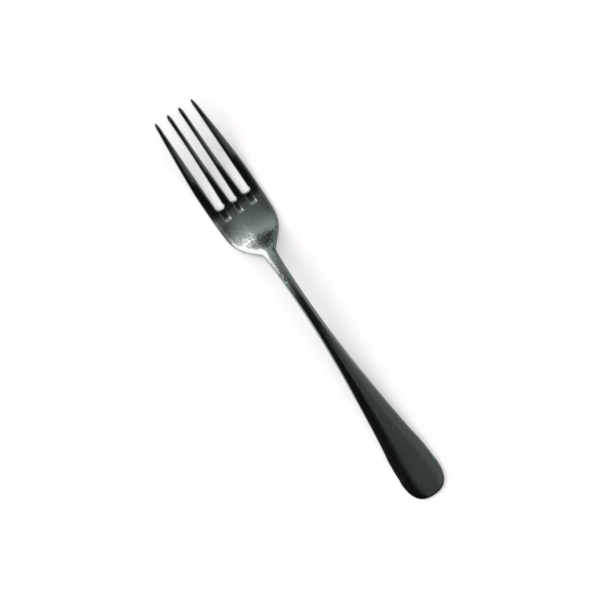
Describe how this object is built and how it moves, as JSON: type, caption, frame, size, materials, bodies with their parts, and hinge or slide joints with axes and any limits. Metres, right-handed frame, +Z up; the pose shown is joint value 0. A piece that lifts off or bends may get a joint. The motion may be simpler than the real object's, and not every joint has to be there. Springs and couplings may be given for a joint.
{
  "type": "dinner fork",
  "caption": "Polished steel table fork with a round-ended tapering handle, an arched neck, a steep heel and a curved head with slotted tines, lying tines up.",
  "frame": {"origin": "the middle of the fork's outline, on the surface that it lies on", "axes": "+X from the handle end to the tine tips, +Y across to the left, +Z up, out of the hollow of the head"},
  "size_m": [0.2, 0.0256, 0.0158],
  "materials": {
    "steel": "polished stainless steel with a fine grain and light wear"
  },
  "bodies": {
    "root": {"fork": "steel"}
  },
  "joints": []
}
